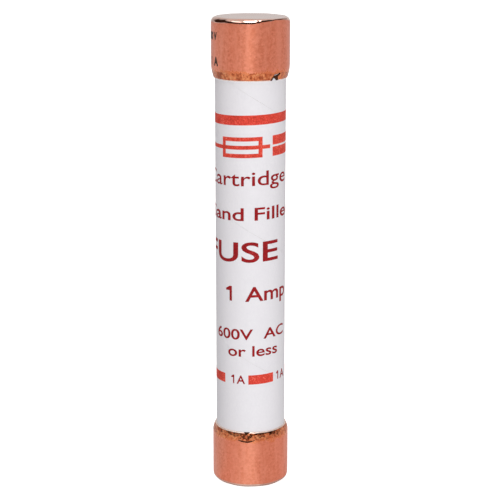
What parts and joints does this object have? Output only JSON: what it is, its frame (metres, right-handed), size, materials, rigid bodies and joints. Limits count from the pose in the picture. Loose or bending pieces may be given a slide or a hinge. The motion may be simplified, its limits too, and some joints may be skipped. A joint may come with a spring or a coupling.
{
  "type": "cartridge fuse",
  "caption": "Ferrule-type cartridge fuse: a paper-wrapped fibre tube closed by copper end caps, with a fuse wire on a fibre card in packed filler.",
  "frame": {"origin": "centre of the bottom ferrule's flat end face", "axes": "+Z along the fuse from the bottom ferrule to the top one, -Y towards the front of the print, +X to its right"},
  "size_m": [0.0206, 0.0206, 0.127],
  "materials": {
    "copper": "satin",
    "fibre_tube": "matte",
    "paper": "satin",
    "cement": "matte",
    "fibre_board": "matte",
    "felt": "matte",
    "strap_copper": "satin",
    "solder": "satin",
    "eyelet_brass": "satin",
    "wire_silver": "polished",
    "tin": "satin",
    "quartz_filler": "matte",
    "red_ink": "satin",
    "black_ink": "matte"
  },
  "bodies": {
    "root": {"bridge_card": "fibre_board", "card_eyelet_bottom": "eyelet_brass", "card_eyelet_top": "eyelet_brass", "cement_ring_bottom": "cement", "cement_ring_top": "cement", "end_washer_bottom": "fibre_board", "end_washer_top": "fibre_board", "ferrule_bottom": "copper", "ferrule_top": "copper", "filler": "quartz_filler", "fuse_wire": "wire_silver", "paper_wrap": "paper", "seal_disc_bottom": "felt", "seal_disc_top": "felt", "solder_joint_bottom": "solder", "solder_joint_top": "solder", "terminal_strap_bottom": "strap_copper", "terminal_strap_top": "strap_copper", "tin_bead": "tin", "tube": "fibre_tube", "wire_solder": "solder"}
  },
  "joints": []
}
